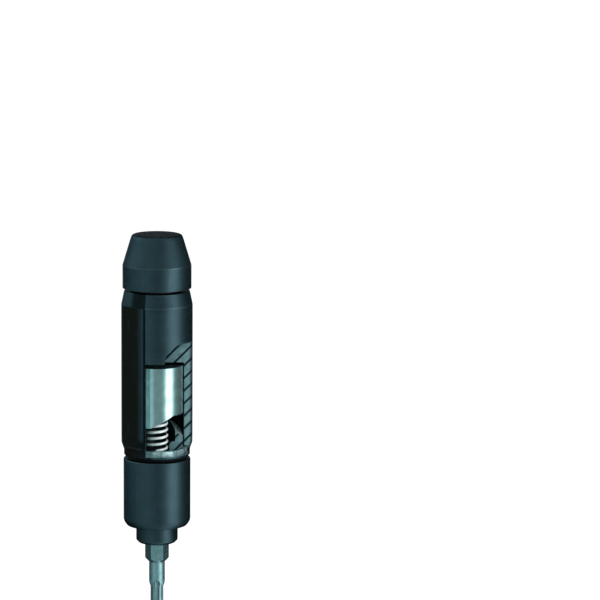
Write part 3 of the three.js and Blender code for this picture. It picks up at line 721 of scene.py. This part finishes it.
turn = azimuths(480)
foot = cam_tip + tooth_fall(turn, tip_azimuth, tip_land, tip_rise)
cam_corners = by_azimuth(
    turn, (axis_gap, spring_roof), (spring_hollow, spring_roof), (spring_hollow, cam_pocket_roof),
    (cam_tooth_inner, cam_pocket_roof),
    (cam_tooth_inner, foot + dish_slope * (cam_radius - cam_tooth_inner)), (cam_radius, foot),
    (cam_radius, cam_head), (axis_gap, cam_head),
)
cam_reach = [0, 0, 0, 0, 0.00015, 0.00015, cam_edge, 0]
cam_sleeve = skin("ground_sleeve", round_axis(softened(cam_corners, cam_reach), turn))
# Painted shade: the sleeve's top face, under the bore's roof, turns near black.
dressed(cam_sleeve, polished(
    "polished_sleeve", "93b4b4", "7fa4a6", cam_head - 0.00025, cam_head - 0.0001))
combine(cam_sleeve, "DIFFERENCE", *key_slots(key_slot_floor, key_slot_foot, 0))
place_piece(cam_sleeve, "housing", "polished_steel", "cam_sleeve")
combine(housing, "DIFFERENCE", *key_slots(bore_radius / 2, counterbore_roof, bore_finish))
shaded(housing)


# Small inner pieces: the two keys, the spring's seat and washer, the cross pin and the two open rings
# are ground or bent from bright steel. They are the CAD's own pieces.
def bright(name, light, dark, roughness, metallic=1.0):
    """Plain bright steel with fine grinding marks and a trace of oil."""
    material, place = new_finish(name, metallic=metallic)
    marks = place.stretched(1, 1, 0.1).noise(5000, 2)
    oil = place.noise(700)
    return feed(
        material, base_color=oil.mix(tone(dark), tone(light)),
        roughness=roughness + 0.1 * marks + 0.05 * oil, normal=bumped(marks, 0.000004),
    )


small_finish = bright("bright_steel", "9fb0b1", "7a8c8e", 0.26)
strip_finish = bright("spring_strip", "dfecea", "b4c4c4", 0.24)
for name in ("drive_key_right", "drive_key_left", "upper_spring_seat", "lower_spring_washer", "holder_pin"):
    dressed(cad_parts[name], small_finish)
for name in ("bit_clip", "sleeve_snap_ring"):
    dressed(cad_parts[name], strip_finish)


# Return spring: it pushes the housing back up after a blow. Cold-wound bright wire, nine and a half turns,
# whose ends stand square on the washer and under the seat.
low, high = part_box("return_spring")
wire_radius = 0.000525
coil_radius = 0.00375
coil_turns = 9.5
spring_foot = low.z
spring_head = high.z
end_rise = 2 * wire_radius


def wound(turns, steps_a_turn=40, around=20):
    """A round wire's grid: a straight end, a helix and another straight end.

    The helix has the angle a, the points (R sin a, -R cos a, z) and a rise even with a. A section's
    points are the line's point + r cos b outwards + r sin b across, and the end sections lie level.
    """
    angle = np.linspace(0, 2 * np.pi * turns, int(turns * steps_a_turn) + 1)
    rise = np.linspace(spring_foot + end_rise, spring_head - end_rise, len(angle))
    ends = [spring_foot, spring_foot + 0.4 * end_rise], [spring_head - 0.4 * end_rise, spring_head]
    angle = np.concatenate([[0, 0], angle, angle[-1:], angle[-1:]])
    rise = np.concatenate([ends[0], rise, ends[1]])
    line = np.stack([coil_radius * np.sin(angle), -coil_radius * np.cos(angle), rise], -1)
    along = np.gradient(line, axis=0)
    along[[0, -1]] = [0, 0, 1]
    along /= np.linalg.norm(along, axis=1, keepdims=True)
    outward = np.stack([np.sin(angle), -np.cos(angle), 0 * angle], -1)
    outward -= (outward * along).sum(1, keepdims=True) * along
    outward /= np.linalg.norm(outward, axis=1, keepdims=True)
    across = np.cross(along, outward)
    ring = np.linspace(0, 2 * np.pi, around, endpoint=False)[None, :, None]
    return line[:, None] + wire_radius * (np.cos(ring) * outward[:, None] + np.sin(ring) * across[:, None])


def spring_wire():
    """Bright drawn wire, painted near white on the coils' outside as their light and near black towards the
    inside as their shade.
    """
    material, place = new_finish("spring_wire", metallic=0.1, ior=1.5, coat_roughness=0.2)
    x, y, z = place.parts()
    drawn = place.noise(2500, 2)
    wire_blotch = place.noise(900, 2)
    outside = ((x * x + y * y) ** 0.5 - coil_radius) / wire_radius
    # Painted light and shade: the coils' outside is near white and their inside near black.
    lit_outside = (outside + 0.25 * wire_blotch).ramp(-0.15, 0.15)
    return feed(
        material, base_color=lit_outside.mix(tone("0a1011"), wire_blotch.mix(tone("f2ffff"), tone("dceeec"))),
        roughness=0.34 - 0.08 * lit_outside + 0.06 * drawn, coat_weight=0.9 * lit_outside,
        normal=bumped(drawn, 0.000003),
    )


spring = skin("wound_spring", wound(coil_turns))
dressed(spring, spring_wire())
place_piece(spring, "housing", "spring_steel", "return_spring", crease=50)
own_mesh(spring)


# End bush: it closes the housing, carries the spindle's flange and holds the sleeve on its neck. Turned
# steel, with two grooves for the rings, and its rim polished.
low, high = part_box("end_bush")
bush_foot = low.z
bush_head = high.z
bush_radius = high.x
neck_radius = 0.0091
neck_bore = 0.0072
bush_flange_foot = 0.0576
bush_recess = 0.0595
snap_foot = 0.0499
snap_roof = 0.0517
snap_floor = 0.0084
seal_foot = 0.0540
seal_roof = 0.0554
seal_floor = 0.00815
bush_edge = 0.00025
bush_corners = [
    (neck_bore, bush_foot), (neck_radius, bush_foot), (neck_radius, snap_foot), (snap_floor, snap_foot),
    (snap_floor, snap_roof), (neck_radius, snap_roof), (neck_radius, seal_foot), (seal_floor, seal_foot),
    (seal_floor, seal_roof), (neck_radius, seal_roof), (neck_radius, bush_flange_foot),
    (bush_radius, bush_flange_foot), (bush_radius, bush_head), (bore_radius, bush_head),
    (bore_radius, bush_recess), (neck_bore, bush_recess),
]
bush_reach = [bush_edge] * 2 + [0] * 9 + [bush_edge] * 3 + [0, 0]
turn = azimuths(360)
end_bush = skin("turned_bush", round_axis(softened(bush_corners, bush_reach), turn), capped=False)
# Painted reflection: the bush's strong light and dark blotches stand for glints on its rim.
dressed(end_bush, polished(
    "polished_bush", "a0c2c3", "2a4a50", 0.0592, 0.0588, roughness=0.46, oil_and_glint_scale=380.0))
combine(end_bush, "DIFFERENCE", lock_hole(0))
place_piece(end_bush, "housing", "polished_steel", "end_bush")


# Output spindle: cam ring, flange, shank, hexagon and tang, turned and milled from one steel bar. The window
# and the section's lines run through its ring, whose cut tooth shows beside the spring.
def across_flats(turn, size, sides):
    """The radius of a bar with that many flats, one of them at the front: size / 2 / cos(offset)."""
    offset = (turn + np.pi / sides) % (2 * np.pi / sides) - np.pi / sides
    return size / 2 / np.cos(offset)


def machined(name):
    """Machined and hardened steel, darker than the section."""
    material, place = new_finish(name, metallic=0.85, ior=1.5)
    rings = place.stretched(0.02, 0.02, 1).noise(5000, 2)
    heat = place.noise(400, 4)
    return feed(
        material, base_color=(heat * 0.7 + rings * 0.3).mix(tone("1d2a2e"), tone("33474c")),
        roughness=0.3 + 0.12 * rings, normal=bumped(rings, 0.000008),
    )


low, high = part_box("output_spindle")
tang_size = 0.0076
hexagon_size = 0.012
tang_head = 0.0413
hexagon_head = 0.0485
shank_radius = 0.0069
flange_foot = 0.0598
flange_radius = 0.00985
pocket_radius = 0.0070
pocket_floor = 0.0635
spring_bore = 0.00475
spring_floor = 0.0581
crest_level = cam_tip - 0.0003
crest_azimuth = -35.5
crest_land = 12.0
crest_rise = 0.0050
pin_height = 0.0390
pin_radius = 0.0015
pin_reach = 0.01
flank_index = 3


def pin_hole():
    """The cutter of the cross pin's hole, from one side to the other."""
    return radial_rod("pin_hole", 90.0, pin_radius, -pin_reach, pin_reach, pin_height)


turn = azimuths(480, [*range(-150, 180, 60), *range(-135, 180, 90)])
tang_radius = across_flats(turn, tang_size, 4)
hexagon_radius = across_flats(turn, hexagon_size, 6)
crest = crest_level - tooth_fall(turn, crest_azimuth, crest_land, crest_rise)
spindle_corners = by_azimuth(
    turn, (axis_gap, low.z), (tang_radius, low.z), (tang_radius, tang_head), (hexagon_radius, tang_head),
    (hexagon_radius, hexagon_head), (shank_radius, hexagon_head), (shank_radius, flange_foot),
    (flange_radius, flange_foot), (flange_radius, crest + dish_slope * (cam_radius - flange_radius)),
    (pocket_radius, crest + dish_slope * (cam_radius - pocket_radius)), (pocket_radius, pocket_floor),
    (spring_bore, pocket_floor), (spring_bore, spring_floor), (axis_gap, spring_floor),
)
spindle_reach = [0, 0.0002, 0, 0.0002, 0, 0, 0, 0.0002, 0.00015, 0.00015, 0.0002, 0, 0, 0]
spindle = skin("cam_spindle", round_axis(softened(spindle_corners, spindle_reach), turn))
flank_finish = bright("ground_flank", "9db4b6", "7d979b", 0.38, metallic=0.4)
shared = [housing.data.materials[index] for index in (section_finish, line_finish)]
dressed(spindle, machined("machined_cam"), *shared, flank_finish)
# A rounded corner takes seven rows of the grid and a plain one takes one. The toothed face runs from the
# middle of its outer corner, number 8 from 0, to the middle of its inner corner.
first, last = [sum(7 if reach else 1 for reach in spindle_reach[:corner]) + 3 for corner in (8, 9)]
face_finishes = np.zeros(len(spindle.data.polygons), int)
face_finishes[first * len(turn):last * len(turn)] = flank_index
spindle.data.polygons.foreach_set("material_index", face_finishes)
combine(spindle, "DIFFERENCE", hatch_cutter(), window_cutter(), pin_hole())
place_piece(spindle, "output", "cam_steel", "output_spindle")


# Bit holder: a round socket pinned to the spindle's tang. Turned steel, broached for the bit and blackened,
# with a groove inside for the clip.
low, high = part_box("bit_holder")
holder_radius = high.x
holder_foot = low.z
holder_head = high.z
holder_chamfer = 0.0011
socket_size = 0.0086
socket_roof = 0.0353
tang_floor = 0.0368
play = 0.0006
turn = azimuths(360, [*range(-150, 180, 60), *range(-135, 180, 90)])
socket = across_flats(turn, socket_size, 6)
tang_socket = across_flats(turn, tang_size + play, 4)
holder_corners = by_azimuth(
    turn, (axis_gap, socket_roof), (socket, socket_roof), (socket, holder_foot),
    (holder_radius - holder_chamfer, holder_foot), (holder_radius, holder_foot + holder_chamfer),
    (holder_radius, holder_head), (tang_socket, holder_head), (tang_socket, tang_floor),
    (axis_gap, tang_floor),
)
holder_reach = [0, 0, 0.0004, 0.0003, 0.0003, 0.0003, 0.0003, 0, 0]
holder = skin("socket_holder", round_axis(softened(holder_corners, holder_reach), turn))
dressed(holder, blackened("blackened_holder", [
    (holder_radius, holder_foot + holder_chamfer), (holder_radius - holder_chamfer, holder_foot)]))
clip_low, clip_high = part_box("bit_clip")
clip_gap = 0.0003
groove_radius = clip_high.x + clip_gap
groove_foot = clip_low.z - clip_gap
groove_roof = clip_high.z + clip_gap
clip_groove = skin("clip_groove", round_axis([
    (axis_gap, groove_foot), (groove_radius, groove_foot), (groove_radius, groove_roof),
    (axis_gap, groove_roof),
], azimuths(180)))
combine(holder, "DIFFERENCE", clip_groove, pin_hole())
place_piece(holder, "output", "black_steel", "bit_holder")


# Output sleeve: the outer ring below the grip, which turns with the spindle. Turned steel, blackened, with
# a hexagonal hole in its web and a broad rounding above its foot.
low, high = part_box("output_sleeve")
sleeve_radius = high.x
sleeve_foot = low.z
sleeve_head = high.z
sleeve_bore = 0.0094
sleeve_foot_bore = 0.0083
sleeve_foot_radius = sleeve_radius - 0.00135
sleeve_foot_height = 0.0019
web_foot = 0.0445
web_head = 0.0475
snap_recess = 0.0101
ring_foot = 0.0339
ring_roof = 0.0351
ring_recess = 0.0092
sleeve_edge = 0.0004
turn = azimuths(480, range(-150, 180, 60))
web_hole = across_flats(turn, hexagon_size + play, 6)
sleeve_corners = by_azimuth(
    turn, (sleeve_foot_bore, sleeve_foot), (sleeve_foot_radius, sleeve_foot),
    (sleeve_radius, sleeve_foot + sleeve_foot_height), (sleeve_radius, sleeve_head),
    (sleeve_bore, sleeve_head), (sleeve_bore, snap_roof), (snap_recess, snap_roof),
    (snap_recess, snap_foot), (sleeve_bore, snap_foot), (sleeve_bore, web_head), (web_hole, web_head),
    (web_hole, web_foot), (sleeve_foot_bore, web_foot), (sleeve_foot_bore, ring_roof),
    (ring_recess, ring_roof), (ring_recess, ring_foot), (sleeve_foot_bore, ring_foot),
)
sleeve_reach = [0.0002, 0.0004, 0.0012, sleeve_edge, sleeve_edge] + [0] * 12
sleeve = skin("turned_sleeve", round_axis(softened(sleeve_corners, sleeve_reach), turn), capped=False)
dressed(sleeve, blackened("blackened_sleeve", [
    (sleeve_radius, sleeve_head), (sleeve_foot_radius, sleeve_foot)]))
place_piece(sleeve, "sleeve", "black_steel", "output_sleeve")


# Bit: a hexagonal shank, a round neck and a six-lobed point in one piece. Forged steel, milled and plated
# to a satin finish.
low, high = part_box("bit")
bit_head = high.z
bit_size = 0.0080
bit_chamfer = 0.0007
neck = 0.00305
neck_foot = 0.0084
neck_head = 0.0165
hexagon_foot = 0.0181
point_radius = 0.0025
flute_radius = 0.0012
flute_centre = 0.00302
flute_end = 0.0081
flare_foot = 0.0068
turn = azimuths(540, range(-150, 180, 60))
# Rows stand close at the tip, the flutes' ends, the shoulder and the chamfer.
height = np.unique(np.concatenate([
    [0, 0.0001, 0.0003], np.linspace(0.0003, 0.0066, 8), np.linspace(0.0066, 0.0096, 80),
    np.linspace(0.0096, 0.0160, 5), np.linspace(0.0160, 0.0185, 22),
    np.linspace(0.0185, bit_head - 0.0010, 6), np.linspace(bit_head - 0.0010, bit_head, 10),
]))[:, None]


def bit_steel():
    """Satin grey-green plating on tool steel, smoother on the shank's flats, with painted shade in the
    flutes that is darkest on their walls.
    """
    material, place = new_finish("bit_plating", metallic=0.9, ior=1.5, coat_roughness=0.25)
    x, y, z = place.parts()
    grain = place.stretched(1, 1, 0.06).noise(4000, 2)
    cloud = place.noise(500)
    radius = (x * x + y * y) ** 0.5
    bar = z.new("MapRange", (), {
        "Value": z, "From Min": flare_foot, "From Max": neck_foot, "To Min": point_radius, "To Max": neck,
    })
    worn = z.ramp(0.0002, 0.0018, 0.35, 0.0) * cloud
    depth = bar - radius
    # Painted shade: the flutes are darker, most on their walls and less on their floors.
    walls = depth.ramp(0.00004, 0.00016) * depth.ramp(0.00036, 0.00056, 0.85, 0.25)
    flute_shade = walls * z.ramp(neck_foot + 0.0002, neck_foot + 0.0006, 1, 0)
    plated = (cloud * 0.6 + grain * 0.4).mix(tone("5a858b"), tone("76a1a5"))
    plated = flute_shade.mix(plated, tone("142a2e"))
    return feed(
        material, base_color=worn.mix(plated, tone("b7c4c4")), coat_weight=0.2 + 0.3 * cloud,
        roughness=z.ramp(0.0160, 0.0175, 0.34, 0.17) + 0.05 * grain, normal=bumped(grain, 0.0000015),
    )


def bit_radius(turn, height):
    """The bit's radius at each azimuth and height.

    The point's round bar has flutes on circles of radius f about centres at distance c, so its radius is
    the near crossing c cos d - sqrt(f^2 - c^2 sin^2 d), at an angle d from the flute. Past the flutes' end
    f shrinks as in a ball, to sqrt(f^2 - rise^2). The hexagon starts where its flats meet a cone.
    """
    bar = np.interp(height, [0, 0.0003, flare_foot, neck_foot], [
        point_radius - 0.0003, point_radius, point_radius, neck])
    off = (turn + np.pi / 6) % (np.pi / 3) - np.pi / 6
    ball = flute_radius ** 2 - np.maximum(height - flute_end, 0) ** 2
    inside = ball - (flute_centre * np.sin(off)) ** 2
    flute = flute_centre * np.cos(off) - np.sqrt(np.maximum(inside, 0))
    flute = np.where(inside > 0, flute, 1.0)
    point = smaller(bar, flute, 0.00008)
    corner = bit_size / np.sqrt(3)
    shoulder = np.interp(height, [neck_head, hexagon_foot], [neck, corner])
    top = np.interp(height, [bit_head - bit_chamfer, bit_head], [corner, corner - bit_chamfer])
    shank = smaller(across_flats(turn, bit_size, 6), smaller(shoulder, top, 0.00004), 0.00004)
    return np.where(height < neck_head - 0.0003, point, shank)


radius = bit_radius(turn, height)
grid = np.stack([radius * np.sin(turn), -radius * np.cos(turn), height + 0 * turn], -1)
bit = skin("milled_bit", grid)
dressed(bit, bit_steel())
place_piece(bit, "bit", "bit_steel", "bit", crease=28)


# Studio: a pale floor that keeps the tool's shadow, a white surround and a large soft lamp at the front
# right. Cards that only reflections see draw the light and dark bands on the steel.
def shown_to_reflections(place, strength, elsewhere):
    """A material's emission: strength for camera, mirror and glass rays, and elsewhere for other light."""
    rays = place.new("LightPath", (), (), "Is Camera Ray")
    seen = rays
    for kind in ("Is Glossy Ray", "Is Transmission Ray"):
        seen = seen.larger(Wire(rays.tree, rays.socket.node.outputs[kind]))
    return elsewhere + (strength - elsewhere) * seen


floor_reach = 4.5
floor_glow = 0.66
floor_material, place = new_finish(
    "pale_floor", roughness=0.9, specular_ior_level=0, base_color=(0.8, 0.8, 0.8, 1),
    emission_color=(1, 1, 1, 1))
floor = in_scene("floor", bpy.data.meshes.new("floor"))
square = [(-1, -1), (1, -1), (1, 1), (-1, 1)]
floor.data.from_pydata([(x * floor_reach, y * floor_reach, 0) for x, y in square], [], [(0, 1, 2, 3)])
dressed(floor, feed(floor_material, emission_strength=shown_to_reflections(place, floor_glow, 0.0)))

world = bpy.data.worlds.new("surround")
bpy.context.scene.world = world
world.use_nodes = True
background = world.node_tree.nodes["Background"]
background.inputs["Color"].default_value = (1, 1, 1, 1)
world_level = 0.45
surround = Wire(world.node_tree, None)
glow = shown_to_reflections(surround, 1.0, world_level)
world.node_tree.links.new(glow.socket, background.inputs["Strength"])


# The lamp faces the axis. Reflections see the cards in its place.
lamp_turn = np.radians(57.0)
lamp_distance = 0.75
lamp_height = 0.32
lamp_aim = 0.06
lamp = in_scene("key_lamp", bpy.data.lights.new("key_lamp", "AREA"))
lamp.data.shape = "RECTANGLE"
lamp.data.size = 0.50
lamp.data.size_y = 0.72
lamp.data.energy = 5.0
lamp.location = (lamp_distance * np.sin(lamp_turn), -lamp_distance * np.cos(lamp_turn), lamp_height)
aim = Vector((0, 0, lamp_aim)) - lamp.location
lamp.rotation_euler = aim.to_track_quat("-Z", "Y").to_euler()
lamp.visible_camera = False
lamp.visible_glossy = False


def reflected_card(name, profile, levels):
    """A ring of card that only reflections see, whose brightness goes by the azimuth in degrees.

    The azimuth is atan2(x, -y). The brighter the card, the warmer it is.
    """
    card = skin(name, round_axis(profile, azimuths(96)), capped=False)
    brightest = max(level for azimuth, level in levels)
    red_share = 1.12
    material, place = new_finish(
        name, roughness=1.0, specular_ior_level=0, base_color=(0, 0, 0, 1),
        emission_strength=brightest * red_share)
    x, y, z = place.parts()
    share = x.maths("ARCTAN2", y * -1) * (0.5 / np.pi) + 0.5
    band = share.new("ValToRGB", (), {"Fac": share})
    stops = band.socket.node.color_ramp.elements
    for azimuth, level in levels[1:-1]:
        stops.new(azimuth / 360 + 0.5)
    for stop, (azimuth, level) in zip(stops, levels):
        light = level / brightest
        stop.position = azimuth / 360 + 0.5
        stop.color = (light * (0.73 + 0.27 * light), light / red_share, light / red_share, 1.0)
    dressed(card, feed(material, emission_color=band))
    card.visible_camera = False
    card.visible_diffuse = False
    card.visible_shadow = False
    card.visible_transmission = False


card_hole = 0.004
card_split = 0.14
card_reach = 0.45
card_back = card_reach + 0.001
card_head = 0.24
high_head = 0.60
card_lift = 0.0004
card_sole = -0.001
reflected_card("near_card", [
    (card_hole, card_lift), (card_split, card_lift), (card_split, card_sole), (card_hole, card_sole),
], [
    (-180, 0.06), (-105, 0.06), (-92, 0.14), (-72, 0.45), (-55, 0.8), (-22, 0.8), (-10, 0.65), (14, 0.65),
    (25, 0.9), (34, 1.5), (44, 2.4), (64, 2.4), (74, 1.4), (86, 0.4), (98, 0.10), (140, 0.05), (180, 0.06),
])
reflected_card("far_card", [
    (card_split, card_lift), (card_reach, card_lift), (card_reach, card_head), (card_back, card_head),
    (card_back, card_sole), (card_split, card_sole),
], [
    (-180, 0.6), (-174, 1.5), (-156, 1.5), (-147, 0.6), (-125, 0.55), (-108, 0.6), (-95, 0.62),
    (-72, 0.75), (-50, 1.0), (-22, 1.05), (-10, 0.46), (14, 0.42), (24, 0.5), (30, 0.85), (37, 1.7),
    (44, 4.0), (65, 4.0), (74, 1.7), (86, 0.42), (100, 0.18), (112, 0.12), (140, 0.1), (160, 0.2),
    (180, 0.6),
])
# The high card is for what leans upwards, such as the cap's cone.
reflected_card("high_card", [
    (card_reach, card_head), (card_reach, high_head), (card_back, high_head), (card_back, card_head),
], [
    (-180, 0.6), (-174, 1.5), (-160, 1.5), (-150, 2.6), (-125, 2.8), (-105, 2.4), (-85, 1.7), (-65, 1.1),
    (-40, 0.8), (-10, 0.6), (14, 0.3), (34, 0.2), (48, 1.1), (70, 1.5), (84, 0.9), (96, 0.1), (140, 0.05),
    (160, 0.2), (180, 0.6),
])

bpy.context.scene.view_settings.view_transform = "Standard"
